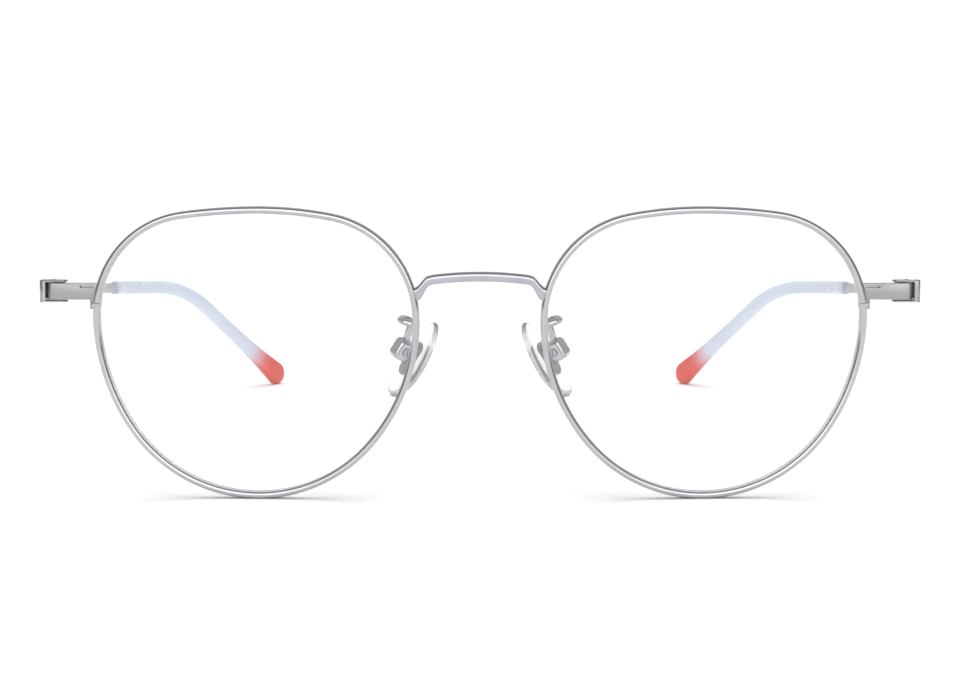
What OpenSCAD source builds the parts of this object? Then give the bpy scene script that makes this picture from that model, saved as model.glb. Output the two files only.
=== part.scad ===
// Wire eyeglasses with panto rims, curved lenses, rocking nose pads and folding temples.
// Millimetres, +Z up. Rims and temple tips stand on Z = 0 and the front faces -Y.
// The mid plane is X = 0: "left" is the -X side, "right" the +X side.
// Everything is drawn for the right side, and mirrored for the left.

/* [Lenses] */
// Lens width, bevel edge to bevel edge
lens_w = 50.4; // [44:0.1:55]
// Lens height, bevel edge to bevel edge
lens_h = 45.1; // [42:0.1:52]
// Clear distance between the two lenses
lens_gap = 20; // [17:0.5:24]
// Radius of the lens front surface
lens_front_r = 130; // [100:5:200]
// Lens thickness
lens_t = 1.7; // [1.4:0.1:2.2]
// Height of the widest outer point over the lens centre, as a share of the lens height
outer_rise = 0.136; // [0.08:0.004:0.18]
// Height of the widest inner point over the lens centre, as a share of the lens height
inner_rise = 0.119; // [0.08:0.001:0.18]
// Backward turn of each lens about its inner edge, in degrees
face_wrap = 3; // [0:0.5:6]

/* [Rims] */
// Rim thickness seen from the front
rim_w = 1.1; // [1:0.05:1.4]
// Rim depth, front to back
rim_d = 1.9; // [1.7:0.1:2.4]
// Height of the rim's split over the lens centre
split_z = 7.8; // [6.8:0.1:8.4]

/* [Bridge and end pieces] */
// Bridge bar height
bridge_h = 1.5; // [1.2:0.1:2]
// Bridge depth, front to back
bridge_d = 1.7; // [1.4:0.1:2]
// Height of the bar's middle over the lens centre
bridge_z = 12.2; // [11:0.1:13]
// End piece height
end_h = 2.55; // [2.3:0.05:3]
// End piece thickness
end_t = 1.3; // [1.1:0.1:1.6]
// End piece reach outside the rim
end_reach = 7.1; // [6:0.1:9]

/* [Hinges] */
// Hinge barrel radius
barrel_r = 1.05; // [0.9:0.05:1.15]
// Hinge leaf thickness
leaf_t = 0.5; // [0.4:0.05:0.6]
// Hinge screw shank radius
pin_r = 0.5; // [0.4:0.05:0.6]

/* [Nose pads] */
// Nose pad length
pad_l = 13.8; // [12:0.1:15]
// Nose pad width
pad_w = 7.4; // [6.5:0.1:8.5]
// Nose pad thickness
pad_t = 1.5; // [1.3:0.1:1.9]
// Tilt of the pads seen from the front, in degrees
pad_tilt = 32; // [24:1:36]
// Opening of the pads toward the back, in degrees
pad_splay = 30; // [20:1:34]
// Pad arm wire diameter
arm_d = 1.1; // [0.9:0.1:1.2]

/* [Temples] */
// Metal length from the head to the inward bend
temple_run = 87; // [75:0.5:98]
// Metal strip thickness
strip_t = 0.9; // [0.7:0.05:1.1]
// Strip height at the head
head_h = 3.5; // [3.3:0.1:4]
// Strip height at the sleeve
strip_h = 1.7; // [1.4:0.1:2]
// Radius of the inward bend
inward_r = 32; // [28:1:40]
// Angle of the inward bend, in degrees
inward_angle = 35.9; // [30:0.1:38]
// Radius of the bend down over the ear
ear_r = 26; // [22:0.5:32]
// Angle of the bend down over the ear, in degrees
ear_angle = 32.7; // [28:0.1:36]
// Length of the straight end of the tip
paddle_l = 27.5; // [22:0.5:34]
// Tip sleeve height
sleeve_h = 2.5; // [2.3:0.1:3]
// Tip sleeve thickness
sleeve_t = 2.3; // [2:0.1:2.6]
// Height of the tip's paddle end
paddle_h = 4.6; // [4:0.1:5.6]

/* [Hidden] */
$fn = 96;
rim_steps = 12;
lens_steps = 6;
overlap = 0.2;
big = 20;

// Fits
groove_depth = 0.45;
groove_w = 0.6;
bevel_play = 0.04;
bevel_w = groove_w - 2 * bevel_play;
edge_play = 0.06;
pin_play = 0.03;
knuckle_play = 0.04;
stop_play = 0.04;
lip_play = 0.18;

// Eye outline: four quadrants, each a side arc and a crown arc that meet tangentially.
// A quadrant is [x sign, z sign, x of the crown point, z of the side point, width, height, side radius].
crown_x = -0.012 * lens_w;
outer_z = outer_rise * lens_h;
inner_z = inner_rise * lens_h;
function quadrant(sx, sz, ox, oz, w, h, roundness) = [sx, sz, ox, oz, w, h, roundness * h];
upper_outer_round = 0.957;
upper_inner_round = 0.955;
lower_inner_round = 1.085;
lower_outer_round = 1.139;
upper_outer = quadrant(1, 1, crown_x, outer_z,
    lens_w / 2 - crown_x, lens_h / 2 - outer_z, upper_outer_round);
upper_inner = quadrant(-1, 1, crown_x, inner_z,
    lens_w / 2 + crown_x, lens_h / 2 - inner_z, upper_inner_round);
lower_inner = quadrant(-1, -1, 0, inner_z, lens_w / 2, lens_h / 2 + inner_z, lower_inner_round);
lower_outer = quadrant(1, -1, 0, outer_z, lens_w / 2, lens_h / 2 + outer_z, lower_outer_round);
eye_outline = [upper_outer, upper_inner, lower_inner, lower_outer];
function side_r(q) = q[6];
function crown_r(q) = (pow(q[4], 2) + pow(q[5], 2) - 2 * q[4] * q[6]) / (2 * (q[5] - q[6]));
function turn(q) = let (d = crown_r(q) - side_r(q))
    atan2((crown_r(q) - q[5]) / d, (q[4] - side_r(q)) / d);
eye_z = lens_h / 2 + rim_w / 2;

// Lens
lens_mid_r = (lens_w + lens_h) / 4;
lens_centre_y = sqrt(pow(lens_front_r - lens_t / 2, 2) - pow(lens_mid_r, 2));
lens_edge = rim_w / 2 + edge_play;
bevel_edge = rim_w / 2 - groove_depth + bevel_play;

// Rim split and its lock
split_gap = 0.08;
lock_x0 = lens_w / 2 - 0.45;
lock_x1 = lens_w / 2 + rim_w / 2 + 0.6;
lock_y0 = 0.3;
lock_y1 = rim_d / 2 + 1.5;
lock_h = 1;
lug_h = 1.5;
lock_screw_r = 0.4;
lock_head_r = 0.6;
lock_head_h = 0.4;
lock_screw_x = (lock_x0 + lock_x1) / 2;
lock_screw_y = (rim_d / 2 + lock_y1) / 2;

// Bridge, measured from the middle of its bar
bridge_rise = 0.5;
bridge_shoulder = 2.3;
bridge_curve = 0.3;
foot_top = 1.85;
foot_low = 3.7;
foot_top_x = 0.4;
foot_low_x = 0.42;
foot_dip = 0.1;
foot_sunk = 1;

// End piece, in world directions from the outer edge of the rim
outer_x = lens_gap / 2 + lens_w * cos(face_wrap);
outer_y = lens_w * sin(face_wrap);
end_x0 = outer_x - 1.5;
end_x1 = outer_x + rim_w / 2 + end_reach;
end_y0 = outer_y - 0.6;
end_y1 = end_y0 + end_t;
end_z = eye_z + split_z + 1.85;
end_bevel = 0.6;
slot_x = outer_x + 0.35;
slot_l = 2.2;
slot_h = 0.4;
slot_wall = 0.3;

// Hinge
leaf_y1 = end_y1 + leaf_t;
leaf_gap = 0.25;
hinge_x = end_x1 - 1.4;
hinge_y = leaf_y1 + leaf_gap + barrel_r;
leaf_l = 5.2;
leaf_h = 2;
mid_knuckle_h = 0.9;
barrel_h = end_h - 0.05;
pin_head_r = 0.8;
pin_head_h = 0.35;
temple_leaf_x = barrel_r + 0.2;
temple_leaf_l = 6;

// Temple, from its head inside the hinge frame
strip_x = temple_leaf_x + leaf_t;
strip_mid_x = strip_x + strip_t / 2;
head_y = end_y0 + 0.3 - hinge_y;
head_l = 7;
neck_h = 2.7;
lip_t = (head_h - end_h) / 2 - lip_play;
lip_reach = 3.4;
lip_bevel = 0.6;
lip_y1 = leaf_y1 - hinge_y - stop_play;
taper_y = 30;
taper_h = 2.1;
core_l = 7;
core_play = 0.01;
paddle_r = paddle_h / 2;

// Nose pad, its arm and its box
arm_r = arm_d / 2;
arm_z = 4.2;
arm_rise = 16;
arm_y0 = 0.55;
arm_back = 1.1;
hook_r = 1;
arm_out = 0.9;
loop_r = 0.9;
loop_l = 2;
loop_x = hook_r + arm_out;
loop_y = arm_back + hook_r + loop_r;
stem_r = 0.7;
stem_l = 2.8;
stem_y = loop_y + loop_l + loop_r;
pivot_drop = 1.4;
pad_drop = 1.3;
pad_upper_round = 1.54;
pad_lower_round = 1.25;
pad_outline = [
    for (q = [[1, 1], [-1, 1], [-1, -1], [1, -1]])
        quadrant(q[0], q[1], 0, -pad_drop, pad_w / 2, pad_l / 2 + q[1] * pad_drop,
            q[1] > 0 ? pad_upper_round : pad_lower_round)
];
pivot_x = 2.1;
pivot_z = 0.6;
insert_l = 6;
insert_w = 2.6;
insert_t = 0.7;
insert_sunk = 0.35;
boss_t = 1;
boss_r = 1;
pad_pin_r = 0.4;
pad_pin_head_r = 0.75;
pad_pin_head_h = 0.3;
boss_neck = 1.6;
box_w = 2.6;
box_l = 3.4;
box_x0 = 0.85;
box_x1 = 3.9;
boss_play = 0.05;
boss_top_play = 0.2;
boss_back_play = 0.15;

// Middle of the paddle's round end, from the head along the unsloped temple.
rest_y = temple_run + inward_r * sin(inward_angle)
    + cos(inward_angle) * (ear_r * sin(ear_angle) + (paddle_l - paddle_r) * cos(ear_angle));
rest_z = ear_r * (1 - cos(ear_angle)) + (paddle_l - paddle_r) * sin(ear_angle);

// The temples slope down until both tips rest on Z = 0 beside the rims.
temple_slope = asin((end_z - paddle_r) / norm([rest_y, rest_z])) - atan2(rest_z, rest_y);

// The whole part is centred front to back on the origin.
back_y = hinge_y + head_y + rest_y * cos(temple_slope) - rest_z * sin(temple_slope) + paddle_r;
centre_y = (back_y - rim_d / 2 - lens_t) / 2;

steel = [0.72, 0.73, 0.75];
satin = [0.66, 0.66, 0.67];
clear = [0.85, 0.9, 0.95, 0.35];
silicone = [0.9, 0.93, 0.95, 0.6];
sleeve = [0.86, 0.9, 0.95];
insert_grey = [0.62, 0.58, 0.55];

// ---- shared shapes ----

module on_side(side) {
    if (side > 0) translate([0, -centre_y, 0]) children();
    else mirror([1, 0, 0]) translate([0, -centre_y, 0]) children();
}

// Lens frame: origin at the lens centre, x outward, y back, z up.
module at_eye() {
    translate([lens_gap / 2, 0, eye_z]) rotate([0, 0, face_wrap]) translate([lens_w / 2, 0, 0])
        children();
}

module at_hinge() {
    translate([hinge_x, hinge_y, end_z]) children();
}

// Points round an outline, anticlockwise from its widest point on the +x side.
// Each arc is drawn in equal steps.
function corner_points(q, shrink, steps) = let (
    side = [q[4] - side_r(q), 0],
    crown = [0, q[5] - crown_r(q)]
) concat(
    [for (i = [0:steps - 1]) side + (side_r(q) - shrink) * direction(i / steps * turn(q))],
    [for (i = [0:steps - 1]) crown
        + (crown_r(q) - shrink) * direction(turn(q) + i / steps * (90 - turn(q)))],
    [crown + (crown_r(q) - shrink) * [0, 1]]
);
function direction(a) = [cos(a), sin(a)];
function placed(q, p) = [q[2] + q[0] * p[0], q[3] + q[1] * p[1]];
function forward(q, shrink, steps) = let (c = corner_points(q, shrink, steps))
    [for (i = [0:len(c) - 2]) placed(q, c[i])];
function backward(q, shrink, steps) = let (c = corner_points(q, shrink, steps))
    [for (i = [len(c) - 1:-1:1]) placed(q, c[i])];
function outline_points(outline, shrink, steps) = concat(
    forward(outline[0], shrink, steps),
    backward(outline[1], shrink, steps),
    forward(outline[2], shrink, steps),
    backward(outline[3], shrink, steps)
);

// Skin through rings of equal length, closed by a point at each end.
module loft(rings, first, last) {
    n = len(rings[0]);
    m = len(rings);
    polyhedron(
        points = concat([for (r = rings) each r], [first, last]),
        faces = concat(
            [for (k = [0:m - 2]) for (i = [0:n - 1])
                [k * n + i, k * n + (i + 1) % n, (k + 1) * n + i]],
            [for (k = [0:m - 2]) for (i = [0:n - 1])
                [k * n + (i + 1) % n, (k + 1) * n + (i + 1) % n, (k + 1) * n + i]],
            [for (i = [0:n - 1]) [(i + 1) % n, i, m * n]],
            [for (i = [0:n - 1]) [(m - 1) * n + i, (m - 1) * n + (i + 1) % n, m * n + 1]]
        )
    );
}

module upright(depth) {
    rotate([90, 0, 0]) linear_extrude(depth, center = true) children();
}

// ---- rims and lenses ----

module eye_area(grow) {
    polygon(outline_points(eye_outline, -grow, rim_steps));
}

module rim_ring() {
    upright(rim_d) difference() {
        eye_area(rim_w / 2);
        eye_area(-rim_w / 2);
    }
}

module rim() {
    at_eye() difference() {
        rim_ring();
        upright(groove_w) eye_area(groove_depth - rim_w / 2);
        translate([lens_w / 4, -big / 2, split_z - split_gap / 2]) cube([lens_w / 2, big, split_gap]);
    }
}

// How far the middle of the lens thickness stands in front of the groove.
function bulge(p) = lens_centre_y - sqrt(pow(lens_front_r - lens_t / 2, 2) - p * p);

function lens_ring(share, shrink, depth) = [
    for (p = outline_points(eye_outline, shrink, lens_steps)) let (q = share * p)
        [q[0], bulge(norm(q)) + depth, q[1]]
];

function bevel_ring(depth) = [
    for (p = outline_points(eye_outline, bevel_edge, lens_steps)) [p[0], depth, p[1]]
];

function bevel_root_ring(depth) = [
    for (p = outline_points(eye_outline, lens_edge, lens_steps)) [p[0], depth, p[1]]
];

module lens() {
    shares = [0.25, 0.5, 0.75, 1];
    at_eye() loft(concat(
        [for (f = shares) lens_ring(f, lens_edge, -lens_t / 2)],
        [bevel_root_ring(-bevel_w / 2), bevel_ring(-bevel_w / 2)],
        [bevel_ring(bevel_w / 2), bevel_root_ring(bevel_w / 2)],
        [for (i = [len(shares) - 1:-1:0]) lens_ring(shares[i], lens_edge, lens_t / 2)]
    ), [0, bulge(0) - lens_t / 2, 0], [0, bulge(0) + lens_t / 2, 0]);
}

// ---- bridge, end pieces and rim locks ----

// Points that ease from one height to another, as the foot of the bridge flares.
function flare(from, to, steps) = [
    for (i = [0:steps]) let (t = i / steps)
        [from[0] + t * (to[0] - from[0]), from[1] + t * t * (3 - 2 * t) * (to[1] - from[1])]
];
function reversed(points) = [for (i = [len(points) - 1:-1:0]) points[i]];
function mirrored(points) = [for (p = points) [-p[0], p[1]]];

// Front view of the bridge: a bar that arches a little, with feet that flare at the rims.
module bridge_area() {
    half = lens_gap / 2 - bridge_shoulder;
    reach = lens_gap / 2 + foot_sunk;
    arch = [for (i = [1:8]) let (t = i / 8) [t * half, -bridge_rise * t * t]];
    end = arch[7];
    top = concat(
        [for (p = arch) p + [0, bridge_h / 2]],
        flare(end + [bridge_curve, bridge_h / 2 - foot_dip],
            [lens_gap / 2 + foot_top_x, -foot_top], 8),
        [[reach, -foot_top]]
    );
    low = concat(
        [for (p = arch) p - [0, bridge_h / 2]],
        flare(end + [bridge_curve / 2, -bridge_h / 2 - foot_dip],
            [lens_gap / 2 - foot_low_x, -foot_low], 8),
        [[reach, -foot_low]]
    );
    polygon(concat(
        reversed(mirrored(top)), [[0, bridge_h / 2]], top,
        reversed(low), [[0, -bridge_h / 2]], mirrored(low)
    ));
}

module bridge_bar() {
    translate([0, -centre_y, 0]) difference() {
        translate([0, 0, eye_z + bridge_z]) upright(bridge_d) bridge_area();
        for (s = [0, 1]) mirror([s, 0, 0]) at_eye() upright(big) eye_area(rim_w / 2);
    }
}

// Screw that closes the rim: its axis stands behind the rim, in the lens frame.
module at_rim_screw() {
    at_eye() translate([lock_screw_x, lock_screw_y, split_z]) children();
}

module lock_blank(z, h) {
    difference() {
        translate([lock_x0, lock_y0, z]) cube([lock_x1 - lock_x0, lock_y1 - lock_y0, h]);
        rim_ring();
    }
}

module end_piece() {
    difference() {
        union() {
            difference() {
                translate([0, 0, end_z - end_h / 2]) linear_extrude(end_h) polygon([
                    [end_x0, end_y0],
                    [end_x1 - end_bevel, end_y0],
                    [end_x1, end_y0 + end_bevel],
                    [end_x1, end_y1],
                    [end_x0, end_y1]
                ]);
                at_eye() upright(big) eye_area(rim_w / 2);
            }
            at_eye() lock_blank(split_z + split_gap / 2, lug_h);
        }
        translate([slot_x, end_y0 - 1, end_z + end_h / 2 - slot_wall - slot_h])
            cube([slot_l, end_t + 2, slot_h]);
        at_rim_screw() cylinder(lug_h, r = lock_screw_r);
    }
}

module lock_block() {
    difference() {
        at_eye() lock_blank(split_z - split_gap / 2 - lock_h, lock_h);
        at_rim_screw() translate([0, 0, -big]) cylinder(big, r = lock_screw_r + pin_play);
        at_rim_screw() translate([0, 0, -split_gap / 2 - lock_h])
            cylinder(lock_head_h, r = lock_head_r + pin_play);
    }
}

module rim_screw() {
    at_rim_screw() {
        translate([0, 0, -split_gap / 2 - lock_h]) cylinder(lock_head_h, r = lock_head_r);
        translate([0, 0, -split_gap / 2 - lock_h]) cylinder(lock_h + lug_h, r = lock_screw_r);
    }
}

// ---- hinge, drawn about its pin axis ----

module knuckle(z0, z1, towards) {
    translate([0, 0, z0]) difference() {
        union() {
            cylinder(z1 - z0, r = barrel_r);
            rotate([0, 0, towards]) translate([0, -barrel_r, 0])
                cube([barrel_r + leaf_gap + overlap, barrel_r, z1 - z0]);
        }
        translate([0, 0, -1]) cylinder(z1 - z0 + 2, r = pin_r + (towards < 0 ? pin_play : 0));
    }
}

module front_leaf() {
    at_hinge() {
        translate([end_x1 - hinge_x - leaf_l, end_y1 - hinge_y, -leaf_h / 2])
            cube([leaf_l, leaf_t, leaf_h]);
        knuckle(-mid_knuckle_h / 2, mid_knuckle_h / 2, -90);
    }
}

module temple_leaf() {
    at_hinge() {
        translate([temple_leaf_x, leaf_y1 + stop_play - hinge_y, -barrel_h / 2])
            cube([leaf_t, temple_leaf_l, barrel_h]);
        for (s = [-1, 1]) translate([0, 0, s > 0 ? mid_knuckle_h / 2 + knuckle_play : -barrel_h / 2])
            knuckle(0, (barrel_h - mid_knuckle_h) / 2 - knuckle_play, 0);
    }
}

module hinge_screw() {
    at_hinge() {
        translate([0, 0, -barrel_h / 2]) cylinder(barrel_h, r = pin_r);
        translate([0, 0, barrel_h / 2]) cylinder(pin_head_h, r = pin_head_r);
    }
}

// ---- temples ----

module at_temple() {
    at_hinge() translate([0, head_y, 0]) children();
}

module at_slope() {
    at_temple() rotate([-temple_slope, 0, 0]) translate([strip_mid_x, 0, 0]) children();
}

// The metal strip: a channel head, then a tapering bar that ends inside the sleeve.
module temple() {
    at_temple() {
        translate([strip_x, 0, 0]) rotate([90, 0, 90]) linear_extrude(strip_t) polygon([
            [0, -head_h / 2],
            [0, head_h / 2],
            [lip_y1 - head_y, head_h / 2],
            on_slope(head_l, neck_h / 2),
            on_slope(taper_y, taper_h / 2),
            on_slope(temple_run, strip_h / 2),
            on_slope(temple_run + core_l, strip_h / 2),
            on_slope(temple_run + core_l, -strip_h / 2),
            on_slope(temple_run, -strip_h / 2),
            on_slope(taper_y, -taper_h / 2),
            on_slope(head_l, -neck_h / 2),
            [lip_y1 - head_y, -head_h / 2]
        ]);
        for (s = [-1, 1]) translate([0, 0, s * (head_h - lip_t) / 2 - lip_t / 2])
            linear_extrude(lip_t) polygon([
                [strip_x + overlap, 0],
                [strip_x - lip_reach + lip_bevel, 0],
                [strip_x - lip_reach, lip_bevel],
                [strip_x - lip_reach, lip_y1 - head_y],
                [strip_x + overlap, lip_y1 - head_y]
            ]);
    }
}

function on_slope(y, z) = [
    y * cos(temple_slope) + z * sin(temple_slope),
    z * cos(temple_slope) - y * sin(temple_slope)
];

// The sleeve is a skin over oval sections that follow both bends and swell to the paddle.
sleeve_l1 = inward_r * inward_angle * PI / 180;
sleeve_l2 = ear_r * ear_angle * PI / 180;
sleeve_l = sleeve_l1 + sleeve_l2 + paddle_l;
inward_end = [-inward_r * (1 - cos(inward_angle)), temple_run + inward_r * sin(inward_angle), 0];
inward_dir = [-sin(inward_angle), cos(inward_angle), 0];
inward_side = [cos(inward_angle), sin(inward_angle), 0];
up = [0, 0, 1];

// Centre line of the sleeve at a distance from its mouth: [point, side direction, up direction].
function sleeve_frame(d) =
    d <= sleeve_l1 ? on_inward_bend(d / inward_r * 180 / PI)
    : d <= sleeve_l1 + sleeve_l2 ? on_ear_bend((d - sleeve_l1) / ear_r * 180 / PI, 0)
    : on_ear_bend(ear_angle, d - sleeve_l1 - sleeve_l2);
function on_inward_bend(a) = [
    [-inward_r * (1 - cos(a)), temple_run + inward_r * sin(a), 0],
    [cos(a), sin(a), 0],
    up
];
function on_ear_bend(a, d) = let (along = cos(a) * inward_dir - sin(a) * up) [
    inward_end + ear_r * (sin(a) * inward_dir - (1 - cos(a)) * up) + d * along,
    inward_side,
    cos(a) * up + sin(a) * inward_dir
];

// Half height grows along the straight end; both halves close in round its tip.
function grown(d) = let (from = sleeve_l1 + sleeve_l2)
    pow(max(0, min(1, (d - from) / (sleeve_l - paddle_r - from))), 3);
function closing(d) = let (t = max(0, (d - sleeve_l + paddle_r) / paddle_r)) sqrt(1 - t * t);
function half_h(d) = closing(d) * (sleeve_h / 2 + grown(d) * (paddle_r - sleeve_h / 2));
function half_t(d) = sqrt(closing(d)) * sleeve_t / 2;
oval_n = 20;
oval_power = 0.8;
function rounded(c) = sign(c) * pow(abs(c), oval_power);
function sleeve_ring(d) = let (f = sleeve_frame(d)) [
    for (i = [0:oval_n - 1]) let (a = 360 * i / oval_n)
        f[0] + half_t(d) * rounded(cos(a)) * f[1] + half_h(d) * rounded(sin(a)) * f[2]
];

module temple_tip() {
    near = [for (d = [0:3:sleeve_l - paddle_r - 1]) d];
    end = [for (a = [0:15:75]) sleeve_l - paddle_r + paddle_r * sin(a)];
    difference() {
        at_slope() loft(
            [for (d = concat(near, end)) sleeve_ring(d)],
            sleeve_frame(0)[0],
            sleeve_frame(sleeve_l)[0]
        );
        at_slope() translate([-strip_t / 2 - core_play, temple_run - 1, -strip_h / 2 - core_play])
            cube([strip_t + 2 * core_play, 1 + core_l, strip_h + 2 * core_play]);
    }
}

// ---- nose pads and their arms ----

// Frame of the arm: origin on the rim's bevel line, and its x leans up as it goes outward.
module at_arm() {
    drop = lower_inner[3] - arm_z;
    r = side_r(lower_inner);
    at_eye() translate([r - lens_w / 2 - sqrt(r * r - drop * drop), arm_y0, arm_z])
        rotate([0, -arm_rise, 0]) children();
}

module wire(l) {
    cylinder(l, r = arm_r);
}

module quarter_bend(r, from) {
    rotate([0, 0, from]) rotate_extrude(angle = 90) translate([r, 0]) circle(arm_r);
}

// Back from the rim, outward, back along the loop, inward and down into the box.
module pad_arm() {
    difference() {
        at_arm() {
            rotate([-90, 0, 0]) wire(arm_back);
            translate([hook_r, arm_back, 0]) quarter_bend(hook_r, 90);
            translate([hook_r, loop_y - loop_r, 0]) rotate([0, 90, 0]) wire(arm_out);
            translate([loop_x, loop_y, 0]) quarter_bend(loop_r, -90);
            translate([loop_x + loop_r, loop_y, 0]) rotate([-90, 0, 0]) wire(loop_l);
            translate([loop_x, loop_y + loop_l, 0]) quarter_bend(loop_r, 0);
            translate([loop_x, stem_y, -stem_r]) rotate([90, 0, 0]) quarter_bend(stem_r, 90);
            translate([loop_x - stem_r, stem_y, -stem_r - stem_l]) wire(stem_l);
        }
        at_eye() rim_ring();
        at_pad() pad_box_blank();
    }
}

// Frame of the pad: origin at the middle of its back, x away from the nose, z along its length.
module at_pad() {
    at_arm() translate([loop_x - stem_r, stem_y, -stem_r - stem_l - pivot_drop])
        rotate([0, arm_rise, 0]) rotate([0, 0, -face_wrap]) rotate([0, -pad_tilt, 0])
            rotate([0, 0, -pad_splay]) translate([-pivot_x, 0, -pivot_z]) children();
}

module at_pivot() {
    at_pad() translate([pivot_x, 0, pivot_z]) rotate([90, 0, 0]) children();
}

module pad_box_blank() {
    translate([box_x0, -box_w / 2, pivot_z - box_l / 2]) cube([box_x1 - box_x0, box_w, box_l]);
}

module pad_box() {
    slot_w = boss_t + 2 * boss_play;
    difference() {
        at_pad() pad_box_blank();
        at_pad() translate([0, -slot_w / 2, pivot_z + boss_r + boss_top_play - big])
            cube([pivot_x + boss_r + boss_back_play, slot_w, big]);
        at_pivot() cylinder(big, r = pad_pin_r, center = true);
    }
}

module pad_screw() {
    at_pivot() {
        translate([0, 0, -box_w / 2]) cylinder(box_w, r = pad_pin_r);
        translate([0, 0, box_w / 2]) cylinder(pad_pin_head_h, r = pad_pin_head_r);
    }
}

module insert_plate() {
    reach = (insert_l - insert_w) / 2;
    translate([-insert_sunk, 0, 0]) rotate([90, 0, 90]) linear_extrude(insert_t) union() {
        square([insert_w, 2 * reach], center = true);
        for (s = [-1, 1]) translate([0, s * reach]) circle(insert_w / 2);
    }
}

module pad_insert() {
    difference() {
        at_pad() {
            insert_plate();
            translate([pivot_x, 0, pivot_z]) rotate([90, 0, 0])
                cylinder(boss_t, r = boss_r, center = true);
            translate([0, -boss_t / 2, pivot_z - boss_neck / 2])
                cube([pivot_x, boss_t, boss_neck]);
        }
        at_pivot() cylinder(big, r = pad_pin_r + pin_play, center = true);
    }
}

// Each ring of the pad is [share of the outline, share of the thickness].
module nose_pad() {
    rings = [[0.5, 0], [0.86, 0], [0.97, 0.12], [1, 0.35], [0.96, 0.6], [0.84, 0.8], [0.5, 0.95]];
    at_pad() difference() {
        loft([for (r = rings) [
            for (p = outline_points(pad_outline, 0, lens_steps)) [-r[1] * pad_t, r[0] * p[0], r[0] * p[1]]
        ]], [0, 0, 0], [-pad_t, 0, 0]);
        insert_plate();
    }
}

// ---- named pieces ----

module bridge() { color(steel) bridge_bar(); }
module left_rim() { color(steel) on_side(-1) rim(); }
module left_lens() { color(clear) on_side(-1) lens(); }
module left_end_piece() { color(satin) on_side(-1) end_piece(); }
module left_lock_block() { color(steel) on_side(-1) lock_block(); }
module left_rim_screw() { color(steel) on_side(-1) rim_screw(); }
module left_front_leaf() { color(steel) on_side(-1) front_leaf(); }
module left_temple_leaf() { color(steel) on_side(-1) temple_leaf(); }
module left_hinge_screw() { color(steel) on_side(-1) hinge_screw(); }
module left_temple() { color(satin) on_side(-1) temple(); }
module left_temple_tip() { color(sleeve) on_side(-1) temple_tip(); }
module left_pad_arm() { color(steel) on_side(-1) pad_arm(); }
module left_pad_box() { color(steel) on_side(-1) pad_box(); }
module left_pad_screw() { color(steel) on_side(-1) pad_screw(); }
module left_pad_insert() { color(insert_grey) on_side(-1) pad_insert(); }
module left_nose_pad() { color(silicone) on_side(-1) nose_pad(); }
module right_rim() { color(steel) on_side(1) rim(); }
module right_lens() { color(clear) on_side(1) lens(); }
module right_end_piece() { color(satin) on_side(1) end_piece(); }
module right_lock_block() { color(steel) on_side(1) lock_block(); }
module right_rim_screw() { color(steel) on_side(1) rim_screw(); }
module right_front_leaf() { color(steel) on_side(1) front_leaf(); }
module right_temple_leaf() { color(steel) on_side(1) temple_leaf(); }
module right_hinge_screw() { color(steel) on_side(1) hinge_screw(); }
module right_temple() { color(satin) on_side(1) temple(); }
module right_temple_tip() { color(sleeve) on_side(1) temple_tip(); }
module right_pad_arm() { color(steel) on_side(1) pad_arm(); }
module right_pad_box() { color(steel) on_side(1) pad_box(); }
module right_pad_screw() { color(steel) on_side(1) pad_screw(); }
module right_pad_insert() { color(insert_grey) on_side(1) pad_insert(); }
module right_nose_pad() { color(silicone) on_side(1) nose_pad(); }

bridge();
left_rim();
left_lens();
left_end_piece();
left_lock_block();
left_rim_screw();
left_front_leaf();
left_temple_leaf();
left_hinge_screw();
left_temple();
left_temple_tip();
left_pad_arm();
left_pad_box();
left_pad_screw();
left_pad_insert();
left_nose_pad();
right_rim();
right_lens();
right_end_piece();
right_lock_block();
right_rim_screw();
right_front_leaf();
right_temple_leaf();
right_hinge_screw();
right_temple();
right_temple_tip();
right_pad_arm();
right_pad_box();
right_pad_screw();
right_pad_insert();
right_nose_pad();
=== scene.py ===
import math

import bmesh
import bpy
from mathutils import Matrix, Vector


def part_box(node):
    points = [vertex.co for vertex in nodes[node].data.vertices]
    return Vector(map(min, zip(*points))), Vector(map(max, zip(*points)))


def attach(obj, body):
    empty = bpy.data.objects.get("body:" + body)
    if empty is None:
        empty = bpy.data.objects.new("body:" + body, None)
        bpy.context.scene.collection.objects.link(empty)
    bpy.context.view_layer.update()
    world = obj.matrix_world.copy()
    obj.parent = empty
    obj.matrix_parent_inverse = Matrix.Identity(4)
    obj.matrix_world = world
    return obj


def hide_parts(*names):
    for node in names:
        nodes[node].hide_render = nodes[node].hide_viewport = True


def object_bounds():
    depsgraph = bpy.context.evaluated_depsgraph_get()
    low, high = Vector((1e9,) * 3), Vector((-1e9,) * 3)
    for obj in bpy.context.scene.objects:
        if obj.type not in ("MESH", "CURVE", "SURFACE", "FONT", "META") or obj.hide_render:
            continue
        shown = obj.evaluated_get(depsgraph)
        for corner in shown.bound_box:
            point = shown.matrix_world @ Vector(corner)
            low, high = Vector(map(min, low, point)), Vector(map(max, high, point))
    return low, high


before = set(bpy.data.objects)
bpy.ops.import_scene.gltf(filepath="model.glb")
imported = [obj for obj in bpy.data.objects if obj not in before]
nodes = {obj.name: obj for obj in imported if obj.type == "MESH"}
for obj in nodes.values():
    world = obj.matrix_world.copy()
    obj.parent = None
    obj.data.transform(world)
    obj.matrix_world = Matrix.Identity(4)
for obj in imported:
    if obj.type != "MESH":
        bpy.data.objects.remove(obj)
cad_lo, cad_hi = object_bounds()

MM = 0.001
SIDES = {"left": -1, "right": 1}

# ---- sizes shared with the CAD part, in millimetres ----

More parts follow.
